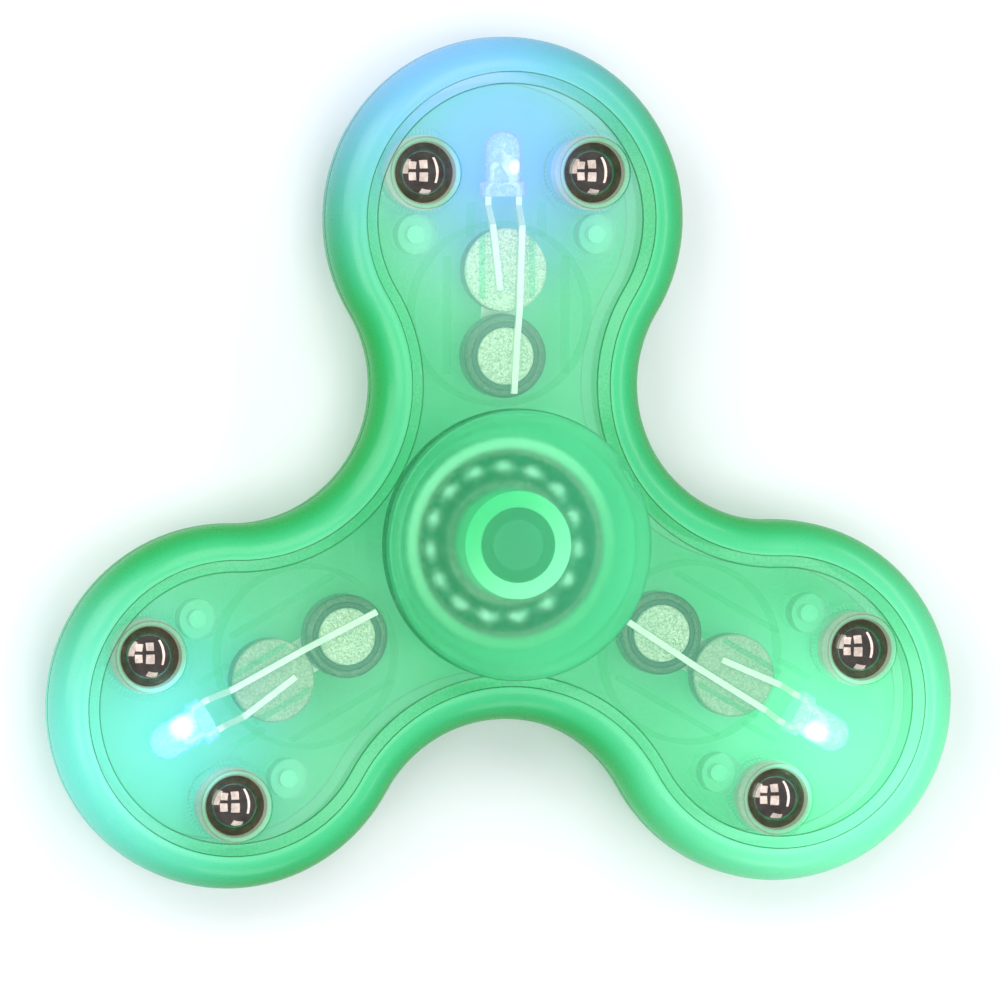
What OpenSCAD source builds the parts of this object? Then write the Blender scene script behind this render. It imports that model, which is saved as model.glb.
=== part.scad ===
// Three-armed translucent hand spinner with a lamp, two button cells and two steel balls in each arm.
// It lies flat: +Z is the spin axis, z = 0 is the resting face of the back finger cap, arm 1 points
// along +Y, and arms 2 and 3 follow counter-clockwise. Each module is drawn about the middle plane,
// where the two half shells meet, and on_hub() or on_arm() lifts it into place.

/* [Shell] */
// Distance from the spin axis to the centre of each arm's round end
arm_radius = 26.25; // [25.5:0.25:28]
// Radius of the round end of each arm
lobe_radius = 14.75; // [14.5:0.25:15.5]
// Distance from the spin axis to the edge between two arms
waist_radius = 14.4; // [14:0.1:15]
// Half of the thickness of the two joined shells
shell_half = 3.5; // [3.5:0.1:4]
// Radius that rounds the outer edge of each shell
rim_radius = 2.75; // [2.25:0.25:2.75]
// Depth of the flat recess in each face
recess_depth = 0.5; // [0.3:0.1:0.5]
// Width of the slope from the crease down to the recess floor
recess_slope = 1; // [0.6:0.1:1]
// Thickness of the moulded walls
wall = 1; // [0.8:0.1:1]

/* [Bearing] */
// Bore of the ball bearing
bearing_bore = 8; // [7.9:0.1:8.1]
// Outer diameter of the ball bearing
bearing_od = 16; // [15.9:0.1:16.1]
// Width of the ball bearing
bearing_width = 5; // [4.6:0.1:5]
// Number of balls in the bearing, which has no cage
bearing_ball_count = 15; // [11:1:15]
// Diameter of each bearing ball
bearing_ball_d = 2.381; // [2.3:0.001:2.4]

/* [Finger caps] */
// Diameter of each finger cap
cap_d = 22; // [20:0.5:24]
// Height of each finger face above the middle plane
cap_top = 6.8; // [6.4:0.1:7.5]
// Height of the cap's side wall
cap_side = 1.9; // [1.6:0.1:2.2]
// Diameter of the column that stands on the bearing's inner race
cap_column_d = 8.7; // [8.5:0.1:9.4]

/* [Weight balls] */
// Diameter of each steel weight ball
weight_d = 6; // [5.8:0.1:6]
// Distance of each weight ball from the arm's centre line
weight_side = 7; // [6.9:0.1:7.1]
// Distance of each weight ball from the spin axis, along the arm
weight_reach = 30; // [29.8:0.1:30]

/* [Lamp] */
// Diameter of the lamp's clear body
lamp_d = 3; // [2.8:0.1:3]
// Diameter of the lamp's base flange
lamp_flange_d = 3.9; // [3.5:0.1:3.9]
// Distance from the spin axis to the back of the lamp
lamp_reach = 28.05; // [28:0.05:29]
// Distance between the lamp's two leads
lead_pitch = 2.54; // [2.5:0.01:2.54]
// Width of the square lead wire
lead_w = 0.5; // [0.4:0.05:0.5]

/* [Cells] */
// Diameter of each button cell
cell_d = 6.8; // [6.6:0.1:6.8]
// Height of each button cell
cell_h = 2.6; // [2.2:0.1:2.6]
// Distance from the spin axis to the centre of the outer cell
outer_cell_reach = 22.1; // [22:0.05:22.15]
// Distance from the spin axis to the centre of the inner cell
inner_cell_reach = 15.1; // [14.9:0.05:15.15]

/* [Hidden] */
$fn = 96;
ARMS = [1, 2, 3];
SIDES = [-1, 1];
PER_ARM = ["weight_ball_left", "weight_ball_right", "lamp_lens", "lamp_chip", "lamp_anode_lead",
    "lamp_cathode_lead", "outer_cell_can", "outer_cell_gasket", "outer_cell_lid", "inner_cell_can",
    "inner_cell_gasket", "inner_cell_lid", "contact_strip"];

// How far a cutting body runs past the face that it cuts
past = 0.5;
// Radial play of pieces that turn or slide in each other
running_fit = 0.03;
// Gap round pieces that only lie in place
loose_fit = 0.05;

// The outline is three round ends joined by three hollow arcs that touch them smoothly
arc_radius = (pow(arm_radius, 2) + pow(waist_radius, 2) - arm_radius * waist_radius - pow(lobe_radius, 2))
    / (2 * lobe_radius + arm_radius - 2 * waist_radius);
arc_reach = waist_radius + arc_radius;
arc_half_turn = atan2(arm_radius * sin(60), arc_reach - arm_radius * cos(60));
lobe_half_turn = 60 + arc_half_turn;

rim_steps = 6;
lobe_steps = 32;
arc_steps = 12;
lobe_share = 3;
web_corner = 6;
edge_band = shell_half - rim_radius;
floor_z = shell_half - recess_depth;
ceiling_z = floor_z - wall;
cavity_corner = 0.9;

bore_r = bearing_bore / 2;
race_r = bearing_od / 2;
race_half = bearing_width / 2;
ball_track_r = (bore_r + race_r) / 2;
groove_r = bearing_ball_d / 2 + running_fit + 0.01;
inner_shoulder_r = ball_track_r - 0.95;
outer_shoulder_r = ball_track_r + 1.05;
race_chamfer = 0.2;
seat_lip = 0.45;
seat_wall = 1.6;
shield_lip_r = race_r - seat_lip;
hub_wall_r = race_r + seat_wall;
// How far joined bodies of one piece run into each other
joint_bite = 0.1;
roof_bite = wall / 2;

cap_r = cap_d / 2;
cap_plate = 1;
cap_wall = 1.15;
cap_edge = 0.5;
plate_under_z = cap_top - cap_plate;
skirt_under_z = cap_top - cap_side;
stem_r = bore_r - running_fit;
stem_end = race_half - joint_bite;
plug_r = 3.05;
plug_bore_r = 2.05;
plug_end = 3.1;
pilot_end = 5.3;

weight_r = weight_d / 2;
weight_pocket_r = weight_r + loose_fit;
weight_sleeve_r = weight_r + 0.7;
weight_lip_r = 2.45;
weight_lip_z = sqrt(pow(weight_r, 2) - pow(weight_lip_r, 2)) + loose_fit;
weight_flare = 0.4;
weight_flare_h = 0.5;

peg_side = 7.5;
peg_reach = 25;
peg_boss_r = 1.65;
peg_r = 0.7;
peg_hole_r = 0.73;
peg_h = 1.4;

compartment_r = 7.35;
compartment_wall = 0.4;
compartment_reach = 18.5;
compartment_z = 0.5;
rib_w = 0.4;
cell_rib_side = 4.9;
cell_rib_length = 9.6;
neck_rib_side = 2.95;
neck_rib_from = 24.8;
neck_rib_length = 2.8;
neck_rib_z = 0.4;
press_rib_side = 2.07;
press_rib_from = 19.8;
press_rib_length = 5.4;
press_rib_gap = 0.06;

lamp_r = lamp_d / 2;
lamp_length = 5.35;
flange_h = 1.2;
flange_flat = 1.75;
frame_w = 0.35;
cup_side = 0.35;
cup_r = 0.52;
cup_from = 2.8;
cup_h = 0.6;
dish_r = 0.42;
dish_floor_r = 0.25;
dish_h = 0.4;
chip_w = 0.3;
chip_h = 0.14;
cell_half = cell_h / 2;
lead_top_z = ceiling_z - 0.03 - lead_w / 2;
lead_rest_z = cell_half + lead_w / 2;

cell_r = cell_d / 2;
can_wall = 0.25;
can_step = 0.14;
can_lip_r = 2.78;
gasket_r = 2.36;
lid_r = 2.33;
lid_body_r = 2.85;
lid_flange_z = 0.45;
lid_chamfer = 0.1;
lip_h = 0.22;
cell_gap = 0.02;
strip_w = 3;
strip_h = 0.2;

plastic_colour = [0.25, 0.85, 0.55, 0.55];
cap_colour = [0.2, 0.78, 0.5, 0.6];
steel_colour = [0.72, 0.73, 0.74];
chrome_colour = [0.55, 0.55, 0.57];
tin_colour = [0.8, 0.82, 0.8];
cell_colour = [0.7, 0.74, 0.68];
gasket_colour = [0.2, 0.22, 0.2];
lens_colour = [0.75, 0.85, 1, 0.5];
chip_colour = [0.9, 0.8, 0.3];

// Placing

module on_hub() {
    translate([0, 0, cap_top]) children();
}

module on_arm(arm) {
    translate([0, 0, cap_top]) rotate([0, 0, 120 * (arm - 1)]) children();
}

module on_back(is_back) {
    mirror([0, 0, is_back ? 1 : 0]) children();
}

// Outline

// Points of an arc of radius r whose centre stands off the spin axis by reach, towards centre_turn
function arc_points(reach, centre_turn, r, from, to, steps) = [for (i = [0:steps - 1])
    let(turn = from + (to - from) * i / steps)
        reach * [cos(centre_turn), sin(centre_turn)] + r * [cos(turn), sin(turn)]];

// The whole outline, counter-clockwise, moved inwards by inset
function outline(inset) = [for (arm = ARMS)
    let(lobe_turn = 120 * (arm - 1) + 90, arc_turn = lobe_turn + 60)
        each concat(
            arc_points(arm_radius, lobe_turn, lobe_radius - inset,
                lobe_turn - lobe_half_turn, lobe_turn + lobe_half_turn, lobe_steps),
            arc_points(arc_reach, arc_turn, arc_radius + inset,
                arc_turn + 180 + arc_half_turn, arc_turn + 180 - arc_half_turn, arc_steps))];

// Shells, drawn as the front half

// Rows of [inset, height], from the recess floor over the rounded edge and back along the inside
shell_rows = concat(
    [[rim_radius + recess_slope, floor_z]],
    [for (i = [0:rim_steps])
        [rim_radius * (1 - sin(90 * i / rim_steps)), edge_band + rim_radius * cos(90 * i / rim_steps)]],
    [[0, 0], [wall, 0], [wall, edge_band], [wall + cavity_corner, ceiling_z]]);

// Corners inside a flat face: the hub, the centre of each round end, and a point between each pair of arms
face_corners = concat([[0, 0]],
    [for (arm = ARMS) arm_radius * [cos(120 * arm - 30), sin(120 * arm - 30)]],
    [for (arm = ARMS) web_corner * [cos(120 * arm + 30), sin(120 * arm + 30)]]);

// Splits a flat face into triangles; first is its outline's first point, and corner is its first face corner
function face_triangles(first, corner) = [for (k = [0:2])
    let(
        around = 3 * (lobe_steps + arc_steps),
        lobe_from = k * (lobe_steps + arc_steps),
        web_from = lobe_from + lobe_steps + lobe_share,
        web_to = lobe_from + lobe_steps + arc_steps - lobe_share,
        lobe_centre = corner + 1 + k,
        next_centre = corner + 1 + (k + 1) % 3,
        web = corner + 4 + k)
        each concat(
            [for (j = [lobe_from - lobe_share:web_from - 1])
                [lobe_centre, first + (j + 1 + around) % around, first + (j + around) % around]],
            [for (j = [web_from:web_to - 1]) [web, first + j + 1, first + j]],
            [[web, first + web_from, lobe_centre], [web, next_centre, first + web_to],
                [web, lobe_centre, corner], [web, corner, next_centre]])];

function reversed(triangles) = [for (t = triangles) [t[0], t[2], t[1]]];

module hollow_half() {
    rows = len(shell_rows);
    around = len(outline(0));
    corners = rows * around;
    polyhedron(
        points = concat(
            [for (row = shell_rows, point = outline(row[0])) [point[0], point[1], row[1]]],
            [for (z = [floor_z, ceiling_z], point = face_corners) [point[0], point[1], z]]),
        faces = concat(
            face_triangles(0, corners),
            [for (i = [0:rows - 2], j = [0:around - 1])
                [i * around + j, i * around + (j + 1) % around,
                    (i + 1) * around + (j + 1) % around, (i + 1) * around + j]],
            reversed(face_triangles((rows - 1) * around, corners + len(face_corners)))));
}

module per_arm() {
    for (arm = ARMS) rotate([0, 0, 120 * (arm - 1)]) children();
}

module at_weights() {
    for (side = SIDES) translate([side * weight_side, weight_reach, 0]) children();
}

module at_pegs() {
    for (side = SIDES) translate([side * peg_side, peg_reach, 0]) children();
}

module roof_post(r) {
    cylinder(r = r, h = ceiling_z + roof_bite);
}

module bearing_seat_cut() {
    translate([0, 0, -past]) cylinder(r = race_r + running_fit, h = race_half + past);
    translate([0, 0, -past]) cylinder(r = shield_lip_r, h = floor_z + 2 * past);
}

module weight_cut() {
    translate([0, 0, -past]) cylinder(r = weight_pocket_r, h = weight_lip_z + past);
    cylinder(r = weight_lip_r, h = floor_z + past);
    translate([0, 0, floor_z - weight_flare_h]) cylinder(
        r1 = weight_lip_r, r2 = weight_lip_r + 2 * weight_flare, h = 2 * weight_flare_h);
}

// A rib that hangs from the roof of the half, along the arm
module roof_rib(side, from, length, lowest_z) {
    translate([side - rib_w / 2, from, lowest_z])
        cube([rib_w, length, ceiling_z + roof_bite - lowest_z]);
}

module half_shell() {
    difference() {
        union() {
            hollow_half();
            roof_post(hub_wall_r);
            per_arm() {
                at_weights() roof_post(weight_sleeve_r);
                at_pegs() roof_post(peg_boss_r);
                children();
            }
        }
        bearing_seat_cut();
        per_arm() at_weights() weight_cut();
    }
}

module front_shell() {
    color(plastic_colour) difference() {
        half_shell() {
            for (side = SIDES) {
                roof_rib(side * cell_rib_side, compartment_reach - cell_rib_length / 2,
                    cell_rib_length, compartment_z);
                roof_rib(side * neck_rib_side, neck_rib_from, neck_rib_length, neck_rib_z);
                roof_rib(side * press_rib_side, press_rib_from, press_rib_length,
                    cell_half + press_rib_gap);
            }
        }
        per_arm() at_pegs() translate([0, 0, -past])
            cylinder(r = peg_hole_r, h = peg_h + loose_fit + past);
    }
}

module back_shell() {
    color(plastic_colour) on_back(true) {
        half_shell() translate([0, compartment_reach, compartment_z]) difference() {
            cylinder(r = compartment_r + compartment_wall / 2,
                h = ceiling_z + roof_bite - compartment_z);
            translate([0, 0, -past]) cylinder(r = compartment_r - compartment_wall / 2,
                h = ceiling_z - compartment_z + past);
        }
        per_arm() at_pegs() translate([0, 0, -peg_h]) cylinder(r = peg_r, h = peg_h + past);
    }
}

// Bearing

module race_section(bore, land) {
    difference() {
        polygon([
            [bore, race_chamfer - race_half], [bore, race_half - race_chamfer],
            [bore + sign(land - bore) * race_chamfer, race_half], [land, race_half],
            [land, -race_half], [bore + sign(land - bore) * race_chamfer, -race_half]]);
        translate([ball_track_r, 0]) circle(r = groove_r);
    }
}

module bearing_outer_race() {
    color(steel_colour) rotate_extrude() race_section(race_r, outer_shoulder_r);
}

module bearing_inner_race() {
    color(steel_colour) rotate_extrude() race_section(bore_r, inner_shoulder_r);
}

module bearing_balls() {
    color(chrome_colour) for (i = [0:bearing_ball_count - 1])
        rotate([0, 0, 360 * i / bearing_ball_count])
            translate([0, ball_track_r, 0]) sphere(d = bearing_ball_d, $fn = 32);
}

// Finger caps

module cap_disc() {
    rotate_extrude() difference() {
        polygon([
            [0, plate_under_z], [cap_r - cap_wall, plate_under_z],
            [cap_r - cap_wall, skirt_under_z], [cap_r, skirt_under_z], [cap_r, cap_top], [0, cap_top]]);
        translate([cap_r, cap_top]) difference() {
            square(2 * cap_edge, center = true);
            translate([-cap_edge, -cap_edge]) circle(r = cap_edge);
        }
    }
}

module front_cap() {
    color(cap_colour) difference() {
        union() {
            cap_disc();
            translate([0, 0, race_half])
                cylinder(d = cap_column_d, h = plate_under_z - race_half + joint_bite);
            translate([0, 0, -stem_end]) cylinder(r = stem_r, h = stem_end + race_half + joint_bite);
        }
        translate([0, 0, -stem_end - past])
            cylinder(r = plug_r + running_fit, h = stem_end + past + plug_end + joint_bite);
        cylinder(r = plug_bore_r, h = pilot_end);
    }
}

module back_cap() {
    color(cap_colour) difference() {
        union() {
            on_back(true) {
                cap_disc();
                translate([0, 0, race_half])
                    cylinder(d = cap_column_d, h = plate_under_z - race_half + joint_bite);
            }
            translate([0, 0, -race_half - joint_bite])
                cylinder(r = plug_r, h = race_half + plug_end + joint_bite);
        }
        translate([0, 0, -pilot_end]) cylinder(r = plug_bore_r, h = pilot_end + plug_end + past);
    }
}

// Weight balls

module weight_ball(side) {
    color(chrome_colour) translate([side * weight_side, weight_reach, 0]) sphere(r = weight_r);
}

// Lamp, drawn along +Y with its back at lamp_reach

module along_arm(reach) {
    translate([0, reach, 0]) rotate([-90, 0, 0]) children();
}

module lens_body() {
    along_arm(lamp_reach) intersection() {
        cylinder(d = lamp_flange_d, h = flange_h);
        translate([-lamp_flange_d, -lamp_flange_d, 0])
            cube([lamp_flange_d + flange_flat, 2 * lamp_flange_d, flange_h]);
    }
    along_arm(lamp_reach) cylinder(r = lamp_r, h = lamp_length - lamp_r);
    along_arm(lamp_reach + lamp_length - lamp_r) sphere(r = lamp_r);
}

// The flat frame of a lead inside the lens; heights are measured from the back of the lamp
module frame_plate(points) {
    translate([0, lamp_reach, -frame_w / 2]) linear_extrude(frame_w) polygon(points);
}

function side_of(x) = x * lead_pitch / 2;

module anode_frame() {
    frame_plate([
        [side_of(-1) - frame_w / 2, 0], [side_of(-1) - frame_w / 2, 0.7], [-1.1, 1.1], [-1.1, 2.4],
        [-0.9, 2.75], [-0.4, 2.75], [-0.4, 2.45], [-0.75, 2.2], [-0.75, 1.1],
        [side_of(-1) + frame_w / 2, 0.7], [side_of(-1) + frame_w / 2, 0]]);
}

module cathode_frame() {
    frame_plate([
        [side_of(1) + frame_w / 2, 0], [side_of(1) + frame_w / 2, 0.7], [1.15, 1.1], [1.15, 2.3],
        [0.8, cup_from + 0.1], [-0.1, cup_from + 0.1], [-0.1, 2.4], [0.45, 1.6], [0.45, 1.1],
        [side_of(1) - frame_w / 2, 0.7], [side_of(1) - frame_w / 2, 0]]);
    translate([cup_side, 0, 0]) along_arm(lamp_reach + cup_from) difference() {
        cylinder(r = cup_r, h = cup_h);
        translate([0, 0, cup_h - dish_h]) cylinder(r1 = dish_floor_r, r2 = dish_r, h = dish_h);
    }
}

module lamp_chip() {
    color(chip_colour) translate([cup_side, 0, 0])
        along_arm(lamp_reach + cup_from + cup_h - dish_h)
            translate([-chip_w / 2, -chip_w / 2, 0]) cube([chip_w, chip_w, chip_h]);
}

module lamp_lens() {
    color(lens_colour) difference() {
        lens_body();
        anode_frame();
        cathode_frame();
        lamp_chip();
    }
}

// Square wire from point to point
module wire(points) {
    for (i = [0:len(points) - 2]) {
        step = points[i + 1] - points[i];
        reach = norm([step[0], step[1]]);
        translate(points[i])
            rotate([0, -atan2(step[2], reach), atan2(step[1], step[0])])
                translate([-lead_w / 4, -lead_w / 2, -lead_w / 2])
                    cube([norm(step) + lead_w / 2, lead_w, lead_w]);
    }
}

function lead_start(x) = [[side_of(x), lamp_reach - lead_w / 4, 0], [side_of(x), lamp_reach - 0.8, 0]];

module lamp_anode_lead() {
    color(tin_colour) {
        wire(concat(lead_start(-1), [[-1.2, 25.7, lead_rest_z], [-0.6, 20.6, lead_rest_z]]));
        anode_frame();
    }
}

module lamp_cathode_lead() {
    color(tin_colour) {
        wire(concat(lead_start(1), [
            [1.2, 25.6, lead_top_z], [1, 19, lead_top_z], [0.85, 16.6, lead_rest_z],
            [0.6, 12.2, lead_rest_z]]));
        cathode_frame();
    }
}

// Cells, drawn with the lid up

module cell_can() {
    rotate_extrude() polygon([
        [0, -cell_half], [cell_r, -cell_half], [cell_r, cell_half - can_step],
        [can_lip_r, cell_half - can_step], [can_lip_r, cell_half - can_step - lip_h],
        [cell_r - can_wall, cell_half - can_step - lip_h], [cell_r - can_wall, can_wall - cell_half],
        [0, can_wall - cell_half]]);
}

module cell_gasket() {
    rotate_extrude() polygon([
        [gasket_r, cell_half - can_step],
        [can_lip_r - cell_gap, cell_half - can_step],
        [can_lip_r - cell_gap, cell_half - can_step - lip_h - cell_gap],
        [cell_r - can_wall - cell_gap, cell_half - can_step - lip_h - cell_gap],
        [cell_r - can_wall - cell_gap, can_wall - cell_half], [lid_body_r + cell_gap, can_wall - cell_half],
        [lid_body_r + cell_gap, cell_half - can_step - lip_h - lid_flange_z + cell_gap],
        [gasket_r, cell_half - can_step - lip_h - lid_flange_z + cell_gap]]);
}

// The lid stands for the lid and the sealed contents under it
module cell_lid() {
    rotate_extrude() polygon([
        [0, can_wall - cell_half + cell_gap], [lid_body_r, can_wall - cell_half + cell_gap],
        [lid_body_r, cell_half - can_step - lip_h - lid_flange_z],
        [lid_r, cell_half - can_step - lip_h - lid_flange_z], [lid_r, cell_half - lid_chamfer],
        [lid_r - lid_chamfer, cell_half], [0, cell_half]]);
}

module at_outer_cell() {
    translate([0, outer_cell_reach, 0]) rotate([180, 0, 0]) children();
}

module at_inner_cell() {
    translate([0, inner_cell_reach, 0]) children();
}

// Joins the back faces of the two cells in series
module contact_strip() {
    reach = outer_cell_reach - inner_cell_reach;
    color(tin_colour) translate([-strip_w / 2, inner_cell_reach, -cell_half - strip_h])
        cube([strip_w, reach, strip_h]);
}

on_hub() front_shell();
on_hub() back_shell();
on_hub() front_cap();
on_hub() back_cap();
on_hub() bearing_outer_race();
on_hub() bearing_inner_race();
on_hub() bearing_balls();
for (arm = ARMS) {
    on_arm(arm) weight_ball(-1);
    on_arm(arm) weight_ball(1);
    on_arm(arm) lamp_lens();
    on_arm(arm) lamp_chip();
    on_arm(arm) lamp_anode_lead();
    on_arm(arm) lamp_cathode_lead();
    on_arm(arm) at_outer_cell() color(cell_colour) cell_can();
    on_arm(arm) at_outer_cell() color(gasket_colour) cell_gasket();
    on_arm(arm) at_outer_cell() color(cell_colour) cell_lid();
    on_arm(arm) at_inner_cell() color(cell_colour) cell_can();
    on_arm(arm) at_inner_cell() color(gasket_colour) cell_gasket();
    on_arm(arm) at_inner_cell() color(cell_colour) cell_lid();
    on_arm(arm) contact_strip();
}
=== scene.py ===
"""The looks of a three-armed translucent hand spinner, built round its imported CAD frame.

Sizes in this script are millimetres about the middle plane, where the two half shells meet, until MM turns
them into Blender's metres. Arm 1 points along +Y, and arms 2 and 3 follow counter-clockwise.
"""

import math

import bmesh
import bpy
from mathutils import Matrix, Vector


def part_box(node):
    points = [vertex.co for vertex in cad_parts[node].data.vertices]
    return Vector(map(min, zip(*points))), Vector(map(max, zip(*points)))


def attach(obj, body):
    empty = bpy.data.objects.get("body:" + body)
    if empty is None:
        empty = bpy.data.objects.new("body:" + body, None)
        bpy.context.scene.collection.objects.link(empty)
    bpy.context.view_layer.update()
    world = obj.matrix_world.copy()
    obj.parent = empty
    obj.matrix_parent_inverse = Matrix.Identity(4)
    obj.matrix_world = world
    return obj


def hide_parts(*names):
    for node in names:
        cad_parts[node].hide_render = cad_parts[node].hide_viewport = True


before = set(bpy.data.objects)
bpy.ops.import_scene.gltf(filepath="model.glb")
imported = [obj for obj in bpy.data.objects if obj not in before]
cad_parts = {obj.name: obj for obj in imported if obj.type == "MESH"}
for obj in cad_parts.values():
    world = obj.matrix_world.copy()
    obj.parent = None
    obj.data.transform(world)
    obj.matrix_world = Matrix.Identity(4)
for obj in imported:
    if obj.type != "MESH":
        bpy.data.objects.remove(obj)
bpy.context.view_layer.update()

MM = 0.001
ARMS = (1, 2, 3)
SIDES = (-1, 1)


# ---------------------------------------------------------------- sizes, from the frame and a few driving sizes

def box_mm(node):
    low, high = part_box(node)
    return low / MM, high / MM


cap_low, cap_high = box_mm("front_cap")
shell_low, shell_high = box_mm("front_shell")
race_low, race_high = box_mm("bearing_outer_race")
hub_low, hub_high = box_mm("bearing_inner_race")
weight_low, weight_high = box_mm("weight_ball_right_1")
lens_low, lens_high = box_mm("lamp_lens_1")
outer_can_low, outer_can_high = box_mm("outer_cell_can_1")
inner_can_low, inner_can_high = box_mm("inner_cell_can_1")

MIDDLE = shell_low.z
SHELL_HALF = shell_high.z - MIDDLE
CAP_TOP = cap_high.z - MIDDLE
CAP_R = cap_high.x
LOBE_R = 14.75
ARM_R = shell_high.y - LOBE_R
WAIST_R = 14.4
ARC_R = ((ARM_R ** 2 + WAIST_R ** 2 - ARM_R * WAIST_R - LOBE_R ** 2)
         / (2 * LOBE_R + ARM_R - 2 * WAIST_R))
ARC_REACH = WAIST_R + ARC_R
ARC_HALF_TURN = math.atan2(ARM_R * math.sin(math.radians(60)),
                           ARC_REACH - ARM_R * math.cos(math.radians(60)))
LOBE_HALF_TURN = math.radians(60) + ARC_HALF_TURN

RIM_R = 2.75
EDGE_BAND = SHELL_HALF - RIM_R
SLOPE = 1.0
FLOOR_Z = SHELL_HALF - 0.5
CEILING_Z = FLOOR_Z - 1.0
WALL = 1.0
CAVITY_CORNER = 0.9
SEAM = 0.12

RACE_R = race_high.x
RACE_HALF = race_high.z - MIDDLE
BORE_R = 4.0
BALL_R = 2.381 / 2
BALL_COUNT = 15
TRACK_R = (RACE_R + BORE_R) / 2
GROOVE_R = BALL_R + 0.04
OUTER_LAND_R = TRACK_R + 1.05
INNER_LAND_R = TRACK_R - 0.95
SHIELD_R = RACE_R - 0.45
HUB_WALL_R = RACE_R + 1.6

WEIGHT_R = (weight_high.x - weight_low.x) / 2
WEIGHT_X = (weight_high.x + weight_low.x) / 2
WEIGHT_Y = (weight_high.y + weight_low.y) / 2
POCKET_R = WEIGHT_R + 0.05
SLEEVE_R = WEIGHT_R + 0.7
LIP_R = 2.45
LIP_Z = math.sqrt(WEIGHT_R ** 2 - LIP_R ** 2) + 0.05
FLARE = 0.4
FLARE_H = 0.5

PEG_X, PEG_Y = 7.5, 25.0
PEG_BOSS_R = 1.65
PEG_HOLE_R = 0.73
PEG_R = 0.7

COMPARTMENT_Y = 18.5
COMPARTMENT_R = 7.35

LENS_Y = lens_low.y
LENS_R = 1.5
LENS_FLANGE_R = 1.95
LENS_LENGTH = lens_high.y - lens_low.y
CHIP_X = 0.35
CHIP_Y = LENS_Y + 3.0

CELL_R = outer_can_high.x
CELL_HALF = (outer_can_high.z - outer_can_low.z + 0.14) / 2
OUTER_CELL_Y = (outer_can_low.y + outer_can_high.y) / 2
INNER_CELL_Y = (inner_can_low.y + inner_can_high.y) / 2


def arm_matrix(arm):
    """Lifts millimetres about the middle plane on arm 1 to metres in the row frame on this arm."""
    return (Matrix.Scale(MM, 4) @ Matrix.Translation((0, 0, MIDDLE))
            @ Matrix.Rotation(math.radians(120 * (arm - 1)), 4, "Z"))


HUB = arm_matrix(1)
LAMP_SPOTS = [arm_matrix(arm) @ Vector((CHIP_X, CHIP_Y, 0)) for arm in ARMS]
# Painted light: spots 6 mm to the left (-X) of each lobe's tip, round which the lamps' colours are painted so each
# lobe's rim is paler on its left.
RIM_SPOTS = [arm_matrix(arm) @ Vector((0, ARM_R + LOBE_R, 0)) + Vector((-6, 0, 0)) * MM for arm in ARMS]


# ---------------------------------------------------------------- mesh building

def bow(start, corner, end, steps):
    """Points of a smooth bend from start to end that leans towards corner, with both ends."""
    out = []
    for i in range(steps + 1):
        t = i / steps
        out.append(tuple((1 - t) ** 2 * s + 2 * t * (1 - t) * c + t * t * e
                         for s, c, e in zip(start, corner, end)))
    return out


def eased(points, steps=4):
    """A closed outline with its corners rounded; each point is (x, y) or (x, y, corner radius)."""
    out = []
    for i, point in enumerate(points):
        if len(point) == 2:
            out.append(point)
            continue
        here = Vector(point[:2])
        before = Vector(points[i - 1][:2]) - here
        after = Vector(points[(i + 1) % len(points)][:2]) - here
        out += bow(tuple(here + before.normalized() * point[2]), tuple(here),
                   tuple(here + after.normalized() * point[2]), steps)
    return out


def ring(bm, place, points, z):
    return [bm.verts.new(place @ Vector((x, y, z))) for x, y in points]


def circle(x, y, r, steps):
    return [(x + r * math.cos(2 * math.pi * i / steps), y + r * math.sin(2 * math.pi * i / steps))
            for i in range(steps)]


def band(bm, a, b, slot=0):
    """Faces between two rings; a ring of one vertex is a pole."""
    count = max(len(a), len(b))
    for i in range(count):
        j = (i + 1) % count
        corners = [a[i % len(a)], a[j % len(a)], b[j % len(b)], b[i % len(b)]]
        kept = [v for k, v in enumerate(corners) if v is not corners[k - 1]]
        bm.faces.new(kept).material_index = slot


def lathe(bm, place, profile, steps=96, slots=None, closed=True):
    """Turns a profile of (radius, height) points round the axis of place; a point on the axis is a pole."""
    rings = [ring(bm, place, circle(0, 0, r, steps), z) if r > 1e-6 else ring(bm, place, [(0, 0)], z)
             for r, z in profile]
    for i in range(len(rings) if closed else len(rings) - 1):
        a, b = rings[i], rings[(i + 1) % len(rings)]
        if len(a) > 1 or len(b) > 1:
            band(bm, a, b, slots[i] if slots else 0)
    return rings


def filled(bm, loops, slot=0):
    """Triangles over a flat face; the first loop is its outline and the others are holes."""
    edges = []
    for loop in loops:
        for i, v in enumerate(loop):
            edges.append(bm.edges.get((v, loop[i - 1])) or bm.edges.new((v, loop[i - 1])))
    made = bmesh.ops.triangle_fill(bm, use_beauty=True, edges=edges)
    for face in made["geom"]:
        if isinstance(face, bmesh.types.BMFace):
            face.material_index = slot


def bar(bm, place, low, high, ease, slot=0):
    """A straight bar with eased long edges between two corners, its length along Y."""
    (x0, y0, z0), (x1, y1, z1) = low, high
    outline = eased([(x0, z0, ease), (x1, z0, ease), (x1, z1, ease), (x0, z1, ease)], 3)
    ends = [[bm.verts.new(place @ Vector((x, y, z))) for x, z in outline] for y in (y0, y1)]
    band(bm, ends[0], ends[1], slot)
    for end in ends:
        bm.faces.new(end).material_index = slot


def finish_piece(bm, name, body, nodes, materials, sharp=32):
    """Turns the mesh under construction into a smooth-shaded object that stands for CAD nodes on a body."""
    bmesh.ops.recalc_face_normals(bm, faces=bm.faces)
    mesh = bpy.data.meshes.new(name)
    bm.to_mesh(mesh)
    bm.free()
    mesh.shade_smooth()
    mesh.set_sharp_from_angle(angle=math.radians(sharp))
    piece = bpy.data.objects.new(name, mesh)
    bpy.context.scene.collection.objects.link(piece)
    for material in materials:
        mesh.materials.append(material)
    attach(piece, body)
    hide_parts(*nodes)
    return piece


# ---------------------------------------------------------------- material building

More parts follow.
